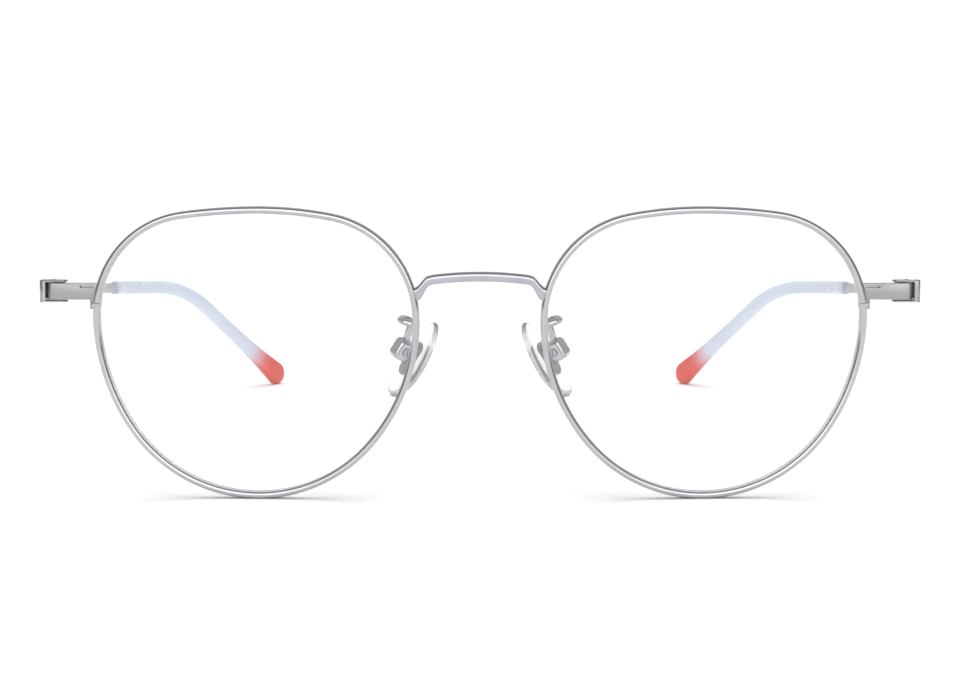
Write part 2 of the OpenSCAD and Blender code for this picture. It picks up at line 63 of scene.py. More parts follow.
# Lens and eye outline
LENS_W, LENS_H, LENS_GAP = 50.4, 45.1, 20.0
LENS_FRONT_R, LENS_T = 130.0, 1.7
OUTER_Z, INNER_Z = 0.136 * LENS_H, 0.119 * LENS_H
CROWN_X = -0.012 * LENS_W
UPPER_OUTER_ROUND, UPPER_INNER_ROUND = 0.957, 0.955
LOWER_INNER_ROUND, LOWER_OUTER_ROUND = 1.085, 1.139
FACE_WRAP = 3.0

# Rim, its groove and its lock
RIM_W, RIM_D, SPLIT_Z, SPLIT_GAP = 1.1, 1.9, 7.8, 0.08
GROOVE_DEPTH, GROOVE_W, BEVEL_PLAY, EDGE_PLAY = 0.45, 0.6, 0.04, 0.06
LOCK_X0, LOCK_X1 = LENS_W / 2 - 0.45, LENS_W / 2 + RIM_W / 2 + 0.6
LOCK_Y1 = RIM_D / 2 + 1.5
LOCK_H, LUG_H = 1.0, 1.5
LOCK_SCREW_R, LOCK_HEAD_R, LOCK_HEAD_H = 0.4, 0.6, 0.4
EYE_Z = LENS_H / 2 + RIM_W / 2
CENTRE_Y = -(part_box("bridge")[0].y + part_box("bridge")[1].y) / 2 / MM

# Bridge
BRIDGE_H, BRIDGE_D, BRIDGE_Z = 1.5, 1.7, 12.2
BRIDGE_RISE, BRIDGE_SHOULDER, BRIDGE_CURVE = 0.5, 2.3, 0.3
FOOT_TOP, FOOT_LOW, FOOT_TOP_X, FOOT_LOW_X, FOOT_DIP = 1.85, 3.7, 0.4, 0.42, 0.1

# End piece and hinge
END_H, END_T, END_REACH = 2.55, 1.3, 7.1
OUTER_X = LENS_GAP / 2 + LENS_W * math.cos(math.radians(FACE_WRAP))
OUTER_Y = LENS_W * math.sin(math.radians(FACE_WRAP))
END_X1 = OUTER_X + RIM_W / 2 + END_REACH
END_Y0 = OUTER_Y - 0.6
END_Y1 = END_Y0 + END_T
END_Z = EYE_Z + SPLIT_Z + 1.85
BARREL_R, LEAF_T, LEAF_GAP, PIN_R = 1.05, 0.5, 0.25, 0.5
PIN_HEAD_R, PIN_HEAD_H = 0.8, 0.35
HINGE_X = END_X1 - 1.4
HINGE_Y = END_Y1 + LEAF_T + LEAF_GAP + BARREL_R
BARREL_H = END_H - 0.05

# Temple and its sleeve
STRIP_T = 0.9
STRIP_MID_X = BARREL_R + 0.2 + LEAF_T + STRIP_T / 2
HEAD_Y = END_Y0 + 0.3 - HINGE_Y
TEMPLE_RUN, INWARD_R, INWARD_ANGLE = 87.0, 32.0, 35.9
EAR_R, EAR_ANGLE, PADDLE_L = 26.0, 32.7, 27.5
SLEEVE_H, SLEEVE_T, PADDLE_H = 2.5, 2.3, 4.6
PADDLE_R = PADDLE_H / 2
OVAL_POWER = 0.8

# Nose pad, its arm and its box
PAD_L, PAD_W, PAD_T, PAD_TILT, PAD_SPLAY = 13.8, 7.4, 1.5, 32.0, 30.0
PAD_DROP, PAD_UPPER_ROUND, PAD_LOWER_ROUND = 1.3, 1.54, 1.25
ARM_Z, ARM_RISE, ARM_Y0, ARM_BACK = 4.2, 16.0, 0.55, 1.1
HOOK_R, ARM_OUT, LOOP_R, LOOP_L, STEM_R, STEM_L = 1.0, 0.9, 0.9, 2.0, 0.7, 2.8
LOOP_X = HOOK_R + ARM_OUT
LOOP_Y = ARM_BACK + HOOK_R + LOOP_R
STEM_Y = LOOP_Y + LOOP_L + LOOP_R
PIVOT_DROP, PIVOT_X, PIVOT_Z = 1.4, 2.1, 0.6
BOX_W, BOX_L, BOX_X0, BOX_X1, BOX_ROUND = 2.6, 3.4, 0.85, 3.9, 0.85
BOSS_R, BOSS_SLOT, BOSS_TOP_PLAY, BOSS_BACK_PLAY = 1.0, 1.1, 0.2, 0.15
PAD_PIN_R, PAD_PIN_HEAD_R, PAD_PIN_HEAD_H = 0.4, 0.75, 0.3


# ---- mesh helpers ----

def turn_z(deg):
    return Matrix.Rotation(math.radians(deg), 4, "Z")


def turn_y(deg):
    return Matrix.Rotation(math.radians(deg), 4, "Y")


def turn_x(deg):
    return Matrix.Rotation(math.radians(deg), 4, "X")


def move(x, y, z):
    return Matrix.Translation((x, y, z))


def on_side(side):
    """The part is drawn in millimetres for the right side; this takes it to the frame."""
    return Matrix.Diagonal((side * MM, MM, MM, 1)) @ move(0, -CENTRE_Y, 0)


AT_EYE = move(LENS_GAP / 2, 0, EYE_Z) @ turn_z(FACE_WRAP) @ move(LENS_W / 2, 0, 0)
AT_HINGE = move(HINGE_X, HINGE_Y, END_Z)


def add_mesh(name, points, faces, matrix, side=1):
    """A smooth mesh object placed in the frame. Mirroring turns the faces, so they are turned back."""
    placed = [matrix @ Vector(p) for p in points]
    mesh = bpy.data.meshes.new(name)
    mesh.from_pydata(placed, [], [tuple(reversed(f)) if side < 0 else tuple(f) for f in faces])
    bm = bmesh.new()
    bm.from_mesh(mesh)
    bmesh.ops.recalc_face_normals(bm, faces=bm.faces)
    bm.to_mesh(mesh)
    bm.free()
    mesh.polygons.foreach_set("use_smooth", [True] * len(mesh.polygons))
    mesh.update()
    obj = bpy.data.objects.new(name, mesh)
    bpy.context.scene.collection.objects.link(obj)
    return obj


def grid_faces(rows, cols):
    """Faces between rings of points, each ring closed on itself."""
    faces = []
    for r in range(rows - 1):
        for c in range(cols):
            d = (c + 1) % cols
            faces.append((r * cols + c, r * cols + d, (r + 1) * cols + d, (r + 1) * cols + c))
    return faces


def capped_faces(rows, cols):
    """Faces between rings, with a flat cap on the first and the last ring."""
    count = rows * cols
    return grid_faces(rows, cols) + [tuple(range(cols)), tuple(range(count - cols, count))]


def box_mesh(name, lo, hi, matrix, side):
    corners = [(x, y, z) for x in (lo[0], hi[0]) for y in (lo[1], hi[1]) for z in (lo[2], hi[2])]
    faces = [(0, 1, 3, 2), (4, 6, 7, 5), (0, 4, 5, 1), (2, 3, 7, 6), (0, 2, 6, 4), (1, 5, 7, 3)]
    return add_mesh(name, corners, faces, matrix, side)


def cut_away(obj, cutter):
    """Takes the cutter out of the object for good, along with any modifier already on it."""
    cut = obj.modifiers.new("slot", "BOOLEAN")
    cut.operation = "DIFFERENCE"
    cut.solver = "EXACT"
    cut.object = cutter
    bpy.context.view_layer.update()
    done = bpy.data.meshes.new_from_object(obj.evaluated_get(bpy.context.evaluated_depsgraph_get()))
    obj.modifiers.clear()
    obj.data = done
    done.name = obj.name
    bpy.data.objects.remove(cutter)


def sharp_edges(obj, degrees):
    """Keeps real corners crisp on a smooth mesh."""
    bm = bmesh.new()
    bm.from_mesh(obj.data)
    for e in bm.edges:
        if len(e.link_faces) == 2 and e.calc_face_angle() > math.radians(degrees):
            e.smooth = False
    bm.to_mesh(obj.data)
    bm.free()


# ---- outlines of arcs ----

# Places of a quadrant's values
SIDE_Z, SIDE_R, TURN = 3, 6, 8


def quadrant(sx, sz, ox, oz, w, h, roundness):
    """A side arc and a crown arc that meet tangentially. The last value is the angle where they meet."""
    side = roundness * h
    crown = (w * w + h * h - 2 * w * side) / (2 * (h - side))
    d = crown - side
    return (sx, sz, ox, oz, w, h, side, crown, math.atan2((crown - h) / d, (w - side) / d))


def arc_point(q, a):
    """Point and outward normal at angle a of one quadrant."""
    sx, sz, ox, oz, w, h, side, crown, turn = q
    n = (math.cos(a), math.sin(a))
    if a <= turn:
        p = (w - side + side * n[0], side * n[1])
    else:
        p = (crown * n[0], h - crown + crown * n[1])
    return (ox + sx * p[0], oz + sz * p[1]), (sx * n[0], sz * n[1])


def quadrant_angles(q, steps):
    turn = q[TURN]
    return ([i / steps * turn for i in range(steps)]
            + [turn + i / steps * (math.pi / 2 - turn) for i in range(steps + 1)])


def outline(quads, steps):
    """The points and normals of a whole outline, quadrant by quadrant."""
    ring = []
    for k, q in enumerate(quads):
        angles = quadrant_angles(q, steps)
        if k % 2 == 0:
            ring += [arc_point(q, a) for a in angles[:-1]]
        else:
            ring += [arc_point(q, a) for a in angles[:0:-1]]
    return ring


EYE = [
    quadrant(1, 1, CROWN_X, OUTER_Z, LENS_W / 2 - CROWN_X, LENS_H / 2 - OUTER_Z, UPPER_OUTER_ROUND),
    quadrant(-1, 1, CROWN_X, INNER_Z, LENS_W / 2 + CROWN_X, LENS_H / 2 - INNER_Z, UPPER_INNER_ROUND),
    quadrant(-1, -1, 0, INNER_Z, LENS_W / 2, LENS_H / 2 + INNER_Z, LOWER_INNER_ROUND),
    quadrant(1, -1, 0, OUTER_Z, LENS_W / 2, LENS_H / 2 + OUTER_Z, LOWER_OUTER_ROUND),
]
PAD = [quadrant(sx, sz, 0, -PAD_DROP, PAD_W / 2, PAD_L / 2 + sz * PAD_DROP,
                PAD_UPPER_ROUND if sz > 0 else PAD_LOWER_ROUND)
       for sx, sz in ((1, 1), (-1, 1), (-1, -1), (1, -1))]


# ---- materials ----

WORN_SHARE = 0.92
# Places of the mix node's colour sockets
MIX_FACTOR, MIX_A, MIX_B, MIX_RESULT = 0, 6, 7, 2


def new_material(name):
    mat = bpy.data.materials.new(name)
    mat.use_nodes = True
    nt = mat.node_tree
    return mat, nt, nt.nodes["Principled BSDF"]


def noise(nt, scale, stretch=(1, 1, 1), **sockets):
    """The strength of a noise texture over the object's own coordinates."""
    coord = nt.nodes.new("ShaderNodeTexCoord")
    mapping = nt.nodes.new("ShaderNodeMapping")
    mapping.inputs["Scale"].default_value = stretch
    tex = nt.nodes.new("ShaderNodeTexNoise")
    tex.inputs["Scale"].default_value = scale
    for key, value in sockets.items():
        tex.inputs[key].default_value = value
    nt.links.new(coord.outputs["Object"], mapping.inputs["Vector"])
    nt.links.new(mapping.outputs["Vector"], tex.inputs["Vector"])
    return tex.outputs["Fac"]


def ranged(nt, source, low, high, to_low, to_high):
    node = nt.nodes.new("ShaderNodeMapRange")
    node.inputs["From Min"].default_value = low
    node.inputs["From Max"].default_value = high
    node.inputs["To Min"].default_value = to_low
    node.inputs["To Max"].default_value = to_high
    nt.links.new(source, node.inputs["Value"])
    return node.outputs["Result"]


def two_tones(nt, source, low, dark, high, light):
    """A colour that runs from one tone to another as the texture rises."""
    ramp = nt.nodes.new("ShaderNodeValToRGB")
    ramp.color_ramp.elements[0].position = low
    ramp.color_ramp.elements[0].color = (*dark, 1)
    ramp.color_ramp.elements[1].position = high
    ramp.color_ramp.elements[1].color = (*light, 1)
    nt.links.new(source, ramp.inputs["Fac"])
    return ramp.outputs["Color"]


def add_bump(nt, bsdf, source, strength, distance):
    lift = nt.nodes.new("ShaderNodeBump")
    lift.inputs["Strength"].default_value = strength
    lift.inputs["Distance"].default_value = distance
    nt.links.new(source, lift.inputs["Height"])
    nt.links.new(lift.outputs["Normal"], bsdf.inputs["Normal"])


def metal(name, colour, rough, rough_spread, grain=(1, 1, 1), grain_scale=900, bump=0.04):
    """Plated metal: roughness drifts in patches, fine grain tilts it, and its colour is a little worn."""
    mat, nt, bsdf = new_material(name)
    bsdf.inputs["Metallic"].default_value = 1.0
    patches = noise(nt, 260, Detail=4.0, Roughness=0.6)
    grainy = noise(nt, grain_scale, grain, Detail=6.0, Roughness=0.7)
    total = nt.nodes.new("ShaderNodeMath")
    total.operation = "ADD"
    nt.links.new(ranged(nt, patches, 0.3, 0.7, 0, rough_spread * 0.6), total.inputs[0])
    nt.links.new(ranged(nt, grainy, 0.3, 0.7, rough - rough_spread * 0.3, rough + rough_spread * 0.5),
                 total.inputs[1])
    nt.links.new(total.outputs["Value"], bsdf.inputs["Roughness"])
    worn = [WORN_SHARE * c for c in colour]
    nt.links.new(two_tones(nt, patches, 0.3, worn, 0.7, colour), bsdf.inputs["Base Color"])
    add_bump(nt, bsdf, grainy, bump, 0.00002)
    return mat


def lens_material():
    """Clear coated lens: nearly invisible face on, a cool sheen at a slant."""
    mat, nt, bsdf = new_material("coated_lens")
    bsdf.inputs["Base Color"].default_value = (0.93, 0.96, 0.97, 1)
    bsdf.inputs["IOR"].default_value = 1.5
    bsdf.inputs["Coat Weight"].default_value = 0.4
    bsdf.inputs["Coat Roughness"].default_value = 0.03
    smears = noise(nt, 60, Detail=3.0, Roughness=0.5)
    nt.links.new(ranged(nt, smears, 0.3, 0.7, 0.015, 0.05), bsdf.inputs["Roughness"])
    weight = nt.nodes.new("ShaderNodeLayerWeight")
    weight.inputs["Blend"].default_value = 0.35
    nt.links.new(ranged(nt, weight.outputs["Facing"], 0.0, 1.0, 0.035, 0.55), bsdf.inputs["Alpha"])
    return mat


def silicone_material():
    """Clear soft pad with a faint haze."""
    mat, nt, bsdf = new_material("clear_silicone")
    bsdf.inputs["Base Color"].default_value = (0.96, 0.975, 0.98, 1)
    bsdf.inputs["Transmission Weight"].default_value = 0.92
    bsdf.inputs["IOR"].default_value = 1.38
    bsdf.inputs["Coat Weight"].default_value = 0.25
    bsdf.inputs["Coat Roughness"].default_value = 0.2
    haze = noise(nt, 500, Detail=4.0, Roughness=0.6)
    nt.links.new(ranged(nt, haze, 0.3, 0.7, 0.06, 0.16), bsdf.inputs["Roughness"])
    add_bump(nt, bsdf, haze, 0.06, 0.00003)
    return mat


def insert_material():
    """Warm grey insert with fine specks."""
    mat, nt, bsdf = new_material("grey_insert")
    specks = noise(nt, 1200, Detail=5.0, Roughness=0.7)
    nt.links.new(two_tones(nt, specks, 0.35, (0.30, 0.265, 0.24), 0.65, (0.40, 0.36, 0.33)),
                 bsdf.inputs["Base Color"])
    nt.links.new(ranged(nt, specks, 0.3, 0.7, 0.38, 0.55), bsdf.inputs["Roughness"])
    return mat


def tip_material():
    """Glossy sleeve, pale blue fading to coral over a short length. The fade is painted per ring."""
    mat, nt, bsdf = new_material("fading_tip")
    fade = nt.nodes.new("ShaderNodeAttribute")
    fade.attribute_name = "fade"
    tint = noise(nt, 90, Detail=3.0, Roughness=0.5)
    mix = nt.nodes.new("ShaderNodeMix")
    mix.data_type = "RGBA"
    mix.inputs[MIX_B].default_value = (0.66, 0.05, 0.025, 1)
    nt.links.new(fade.outputs["Fac"], mix.inputs[MIX_FACTOR])
    cool = two_tones(nt, tint, 0.35, (0.55, 0.595, 0.70), 0.65, (0.59, 0.635, 0.73))
    nt.links.new(cool, mix.inputs[MIX_A])
    nt.links.new(mix.outputs[MIX_RESULT], bsdf.inputs["Base Color"])
    bsdf.inputs["Coat Weight"].default_value = 0.12
    bsdf.inputs["Coat Roughness"].default_value = 0.12
    bsdf.inputs["IOR"].default_value = 1.42
    skin = noise(nt, 800, Detail=5.0, Roughness=0.6)
    nt.links.new(ranged(nt, skin, 0.3, 0.7, 0.24, 0.36), bsdf.inputs["Roughness"])
    add_bump(nt, bsdf, skin, 0.05, 0.00003)
    return mat


RIM_METAL = metal("polished_rim", (0.50, 0.503, 0.515), 0.10, 0.06)
BRIDGE_METAL = metal("polished_bridge", (0.46, 0.46, 0.49), 0.09, 0.05)
SATIN_METAL = metal("satin_plate", (0.365, 0.365, 0.37), 0.34, 0.08, grain=(0.15, 0.15, 3.0),
                    grain_scale=1600, bump=0.10)
TEMPLE_METAL = metal("brushed_temple", (0.42, 0.42, 0.43), 0.34, 0.08, grain=(3.0, 0.08, 3.0),
                     grain_scale=1600, bump=0.12)
HINGE_METAL = metal("hinge_steel", (0.36, 0.36, 0.37), 0.26, 0.10, grain_scale=1400, bump=0.08)
SCREW_METAL = metal("screw_steel", (0.38, 0.38, 0.40), 0.22, 0.08, grain=(1, 1, 0.2), grain_scale=1800,
                    bump=0.08)
ARM_METAL = metal("pad_arm_wire", (0.50, 0.505, 0.52), 0.08, 0.05)
BOX_METAL = metal("pad_box_chrome", (0.50, 0.505, 0.52), 0.08, 0.05, grain_scale=1500, bump=0.06)
LENS = lens_material()
SILICONE = silicone_material()
INSERT = insert_material()
TIP = tip_material()


def finish_piece(obj, material, slot, body, *replaced):
    """Gives a piece its material, the body it rides on and the CAD nodes it stands in for. Its slot is not
    used.
    """
    obj.data.materials.append(material)
    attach(obj, body)
    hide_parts(*replaced)
    return obj


# ---- rims ----

def rim_section():
    """Across the wire: outward offset and depth. Domed front and back, groove on the inner side."""
    half, deep, dome, back = RIM_W / 2, RIM_D / 2, 0.46, 0.30
    front_y, back_y = dome - deep, deep - back
    front = [(half * math.cos(t), front_y - dome * math.sin(t))
             for t in [math.pi * i / 16 for i in range(17)]]
    g, d, lead = GROOVE_W / 2, GROOVE_DEPTH, 0.04
    groove = [(-half, -g - lead), (-half + lead, -g), (-half + d, -g), (-half + d, g),
              (-half + lead, g), (-half, g + lead)]
    rear = [(half * math.cos(t), back_y - back * math.sin(t))
            for t in [math.pi + math.pi * i / 12 for i in range(13)]]
    return front + groove + rear


def build_rim(word, side):
    """The wire runs round the eye from one side of its split to the other."""
    steps, least_turn = 26, 0.01
    low, high = [math.asin((SPLIT_Z + s * SPLIT_GAP / 2 - OUTER_Z) / EYE[0][SIDE_R]) for s in (-1, 1)]
    first = [high] + [a for a in quadrant_angles(EYE[0], steps) if a > high + least_turn]
    ring = [arc_point(EYE[0], a) for a in first[:-1]]
    ring += outline(EYE, steps)[2 * steps:]
    ring += [arc_point(EYE[0], a) for a in quadrant_angles(EYE[0], steps) if a < low - least_turn]
    ring += [arc_point(EYE[0], low)]
    section = rim_section()
    points = [(p[0] + o * n[0], y, p[1] + o * n[1]) for p, n in ring for o, y in section]
    faces = capped_faces(len(ring), len(section))
    rim = add_mesh(f"{word}_rim_wire", points, faces, on_side(side) @ AT_EYE, side)
    sharp_edges(rim, 50)
    return finish_piece(rim, RIM_METAL, "rim_metal", "front", f"{word}_rim")


# ---- bridge ----

def eased(x, start, end):
    """Height on the flare of a foot, between two points."""
    t = max(0.0, min(1.0, (x - start[0]) / (end[0] - start[0])))
    return start[1] + t * t * (3 - 2 * t) * (end[1] - start[1])


def bridge_contours(x):
    """Heights of the bar's top and bottom edges, measured from the middle of the bar."""
    half = LENS_GAP / 2 - BRIDGE_SHOULDER
    x = abs(x)
    if x < half:
        arch = -BRIDGE_RISE * (x / half) ** 2
        return arch + BRIDGE_H / 2, arch - BRIDGE_H / 2
    top_start = (half + BRIDGE_CURVE, -BRIDGE_RISE + BRIDGE_H / 2 - FOOT_DIP)
    low_start = (half + BRIDGE_CURVE / 2, -BRIDGE_RISE - BRIDGE_H / 2 - FOOT_DIP)
    return (eased(x, top_start, (LENS_GAP / 2 + FOOT_TOP_X, -FOOT_TOP)),
            eased(x, low_start, (LENS_GAP / 2 - FOOT_LOW_X, -FOOT_LOW)))


def build_bridge():
    """A bar swept across in rounded sections. Each section's heights are blended over a short stretch."""
    bar_step, foot_start, foot_steps, foot_end = 0.4, 7.2, 22, LENS_GAP / 2 + 0.62
    bar_stations = [i * bar_step for i in range(round(foot_start / bar_step))]
    foot_stations = [foot_start + i * (foot_end - foot_start) / foot_steps for i in range(foot_steps + 1)]
    xs = sorted({round(s * v, 4) for s in (-1, 1) for v in bar_stations + foot_stations})
    # Corner radius, start of its arc, and its sides in depth and height
    corners = [(0.52, math.pi / 2, -1, 1), (0.36, math.pi, -1, -1),
               (0.26, -math.pi / 2, 1, -1), (0.26, 0, 1, 1)]
    corner_steps, blend = 8, 0.25
    points = []
    for x in xs:
        heights = [bridge_contours(v) for v in (x - blend, x, x + blend)]
        top = sum(h[0] for h in heights) / 3
        low = sum(h[1] for h in heights) / 3
        for r, start, sy, sz in corners:
            cy = sy * (BRIDGE_D / 2 - r)
            cz = top - r if sz > 0 else low + r
            for i in range(corner_steps + 1):
                a = start + i / corner_steps * math.pi / 2
                points.append((x, cy + r * math.cos(a), cz + r * math.sin(a)))
    faces = capped_faces(len(xs), len(corners) * (corner_steps + 1))
    bridge = add_mesh("bridge_bar", points, faces, on_side(1) @ move(0, 0, EYE_Z + BRIDGE_Z))
    sharp_edges(bridge, 60)
    return finish_piece(bridge, BRIDGE_METAL, "rim_metal", "front", "bridge")


# ---- lenses ----

def bulge(r):
    """Depth of the lens's middle surface at a distance from its centre."""
    mid = LENS_FRONT_R - LENS_T / 2
    centre = math.sqrt(mid ** 2 - ((LENS_W + LENS_H) / 4) ** 2)
    return centre - math.sqrt(mid ** 2 - r * r)


def build_lens(word, side):
    """Rings from the front centre out to the edge, round the bevel and back to the rear centre."""
    ring = outline(EYE, 20)
    edge = RIM_W / 2 + EDGE_PLAY
    bevel_top = RIM_W / 2 - GROOVE_DEPTH + BEVEL_PLAY + 0.02
    half_bevel, half_flat, chamfer = GROOVE_W / 2 - BEVEL_PLAY, 0.05, 0.08

    def surface(share, depth):
        row = []
        for p, n in ring:
            x, z = share * (p[0] - edge * n[0]), share * (p[1] - edge * n[1])
            row.append((x, bulge(math.hypot(x, z)) + depth, z))
        return row

    def inset(distance, depth):
        return [(p[0] - distance * n[0], depth, p[1] - distance * n[1]) for p, n in ring]

    shares = [0.02] + [i / 12 for i in range(1, 12)] + [0.985, 0.997]
    rows = [surface(s, -LENS_T / 2) for s in shares]
    rows.append(surface(1.0, -LENS_T / 2 + chamfer))
    rows.append(inset(edge, -half_bevel))
    rows.append(inset(bevel_top, -half_flat))
    rows.append(inset(bevel_top, half_flat))
    rows.append(inset(edge, half_bevel))
    rows.append(surface(1.0, LENS_T / 2 - chamfer))
    rows += [surface(s, LENS_T / 2) for s in reversed(shares)]
    points = [p for row in rows for p in row]
    faces = capped_faces(len(rows), len(ring))
    lens = add_mesh(f"{word}_lens_clear", points, faces, on_side(side) @ AT_EYE, side)
    sharp_edges(lens, 40)
    return finish_piece(lens, LENS, "lens", "front", f"{word}_lens")


# ---- temple tips ----

# The middle of the paddle's round end, from the head along the unsloped temple
INWARD, EAR = math.radians(INWARD_ANGLE), math.radians(EAR_ANGLE)
STRAIGHT_L = PADDLE_L - PADDLE_R
REST_Y = (TEMPLE_RUN + INWARD_R * math.sin(INWARD)
          + math.cos(INWARD) * (EAR_R * math.sin(EAR) + STRAIGHT_L * math.cos(EAR)))
REST_Z = EAR_R * (1 - math.cos(EAR)) + STRAIGHT_L * math.sin(EAR)
# The temples slope down until both tips rest on the floor beside the rims
SLOPE = math.degrees(math.asin((END_Z - PADDLE_R) / math.hypot(REST_Y, REST_Z))
                     - math.atan2(REST_Z, REST_Y))
AT_SLEEVE = AT_HINGE @ move(0, HEAD_Y, 0) @ turn_x(-SLOPE) @ move(STRIP_MID_X, 0, 0)
INWARD_L = INWARD_R * INWARD
EAR_L = EAR_R * EAR
SLEEVE_L = INWARD_L + EAR_L + PADDLE_L
FADE_START, FADE_END = 49.5, 56.5
UP = Vector((0, 0, 1))


def sleeve_frame(d):
    """Centre line of the sleeve at a distance from its mouth: point, side and up directions."""
    if d <= INWARD_L:
        a = d / INWARD_R
        return (Vector((-INWARD_R * (1 - math.cos(a)), TEMPLE_RUN + INWARD_R * math.sin(a), 0)),
                Vector((math.cos(a), math.sin(a), 0)), UP)
    end = Vector((-INWARD_R * (1 - math.cos(INWARD)), TEMPLE_RUN + INWARD_R * math.sin(INWARD), 0))
    ahead = Vector((-math.sin(INWARD), math.cos(INWARD), 0))
    a = min(d - INWARD_L, EAR_L) / EAR_R
    rest = max(0.0, d - INWARD_L - EAR_L)
    along = math.cos(a) * ahead - math.sin(a) * UP
    point = end + EAR_R * (math.sin(a) * ahead - (1 - math.cos(a)) * UP) + rest * along
    across = Vector((math.cos(INWARD), math.sin(INWARD), 0))
    return point, across, math.cos(a) * UP + math.sin(a) * ahead


def sleeve_halves(d):
    """Half height and half thickness: the sleeve swells to the paddle, whose end is round."""
    swell = INWARD_L + EAR_L
    grown = max(0.0, min(1.0, (d - swell) / (SLEEVE_L - PADDLE_R - swell))) ** 3
    u = min(1.0, max(0.0, (d - SLEEVE_L + PADDLE_R) / PADDLE_R))
    closing = math.sqrt(max(0.0, 1 - u * u))
    return closing * (SLEEVE_H / 2 + grown * (PADDLE_R - SLEEVE_H / 2)), math.sqrt(closing) * SLEEVE_T / 2


def build_tip(word, side):
    """Oval rings along the sleeve. Its mouth is dished and rounded over."""
    cols = 40
    stations = [float(i) for i in range(1, int(SLEEVE_L - PADDLE_R))]
    stations += [SLEEVE_L - PADDLE_R + PADDLE_R * math.sin(math.radians(a)) for a in range(0, 88, 6)]
    points, fades = [], []

    def add_ring(d, scale, dish):
        half_h, half_t = sleeve_halves(d)
        for i in range(cols):
            a = 2 * math.pi * i / cols
            c, s = [math.copysign(abs(v) ** OVAL_POWER, v) for v in (math.cos(a), math.sin(a))]
            here = d + dish * (1 - s * s)
            point, across, up = sleeve_frame(here)
            points.append(tuple(point + scale * half_t * c * across + scale * half_h * s * up))
            t = min(1.0, max(0.0, (here - FADE_START) / (FADE_END - FADE_START)))
            fades.append(t * t * (3 - 2 * t))

    for d, scale, dish in ((0.0, 0.86, 0.9), (0.0, 0.95, 0.9), (0.14, 1.0, 0.8)):
        add_ring(d, scale, dish)
    for d in stations:
        add_ring(d, 1.0, 0.0)
    faces = grid_faces(len(points) // cols, cols)
    last = len(points)
    points.append(tuple(sleeve_frame(SLEEVE_L)[0]))
    fades.append(1.0)
    faces += [(last - cols + i, last - cols + (i + 1) % cols, last) for i in range(cols)]
    faces.append(tuple(range(cols)))
    tip = add_mesh(f"{word}_tip_sleeve", points, faces, on_side(side) @ AT_SLEEVE, side)
    sharp_edges(tip, 50)
    paint = tip.data.attributes.new("fade", "FLOAT", "POINT")
    paint.data.foreach_set("value", fades)
    return finish_piece(tip, TIP, "tip_plastic", f"{word}_temple_arm", f"{word}_temple_tip")


# ---- nose pads ----

def at_arm():
    """Where the pad's arm leaves the rim."""
    drop = EYE[2][SIDE_Z] - ARM_Z
    r = EYE[2][SIDE_R]
    return AT_EYE @ move(r - LENS_W / 2 - math.sqrt(r * r - drop * drop), ARM_Y0, ARM_Z) @ turn_y(-ARM_RISE)


AT_PAD = (at_arm() @ move(LOOP_X - STEM_R, STEM_Y, -STEM_R - STEM_L - PIVOT_DROP) @ turn_y(ARM_RISE)
          @ turn_z(-FACE_WRAP) @ turn_y(-PAD_TILT) @ turn_z(-PAD_SPLAY) @ move(-PIVOT_X, 0, -PIVOT_Z))
AT_PIVOT = AT_PAD @ move(PIVOT_X, 0, PIVOT_Z) @ turn_x(90)


def build_pad(word, side):
    """Rings from the middle of one face over the rounded edge to the other. Each is a share and a depth."""
    ring = outline(PAD, 8)
    profile = [(0.06, 0.0), (0.5, 0.0), (0.84, 0.0), (0.93, 0.03), (0.975, 0.12), (0.995, 0.24),
               (1.0, 0.35), (0.99, 0.48), (0.96, 0.6), (0.91, 0.72), (0.84, 0.8), (0.7, 0.88),
               (0.5, 0.95), (0.25, 0.985), (0.06, 0.995)]
    points = [(-t * PAD_T, s * p[0], s * p[1]) for s, t in profile for p, n in ring]
    faces = capped_faces(len(profile), len(ring))
    pad = add_mesh(f"{word}_pad_silicone", points, faces, on_side(side) @ AT_PAD, side)
    return finish_piece(pad, SILICONE, "pad_silicone", f"{word}_pad", f"{word}_nose_pad")


# ---- screws ----

def build_screw(name, side, matrix, profile, slot_at, slot_depth, slot_w, slot_turn):
    """A turned screw with a driver slot. The profile is radius and height from the shank end."""
    cols = 40
    points = [(r * math.cos(2 * math.pi * i / cols), r * math.sin(2 * math.pi * i / cols), z)
              for r, z in profile for i in range(cols)]
    screw = add_mesh(name, points, capped_faces(len(profile), cols), on_side(side) @ matrix, side)
    reach = max(r for r, z in profile) + 0.2
    cutter = box_mesh(name + "_cutter", (-reach, -slot_w / 2, slot_at - slot_depth),
                      (reach, slot_w / 2, slot_at + 0.5), on_side(side) @ matrix @ turn_z(slot_turn), side)
    cut_away(screw, cutter)
    sharp_edges(screw, 35)
    return screw


def head_profile(shank_r, shank_l, head_r, head_h, domed):
    """Shank from 0 to shank_l, then a head with a softened rim and a little dome."""
    edge = min(0.08, head_h * 0.35)
    return [(shank_r - 0.04, 0.0), (shank_r, 0.04), (shank_r, shank_l), (head_r - 0.03, shank_l),
            (head_r, shank_l + 0.03), (head_r, shank_l + head_h - edge - domed),
            (head_r - edge * 0.3, shank_l + head_h - edge * 0.3 - domed),
            (head_r - edge, shank_l + head_h - domed), (head_r * 0.5, shank_l + head_h - domed * 0.3),
            (head_r * 0.1, shank_l + head_h)]


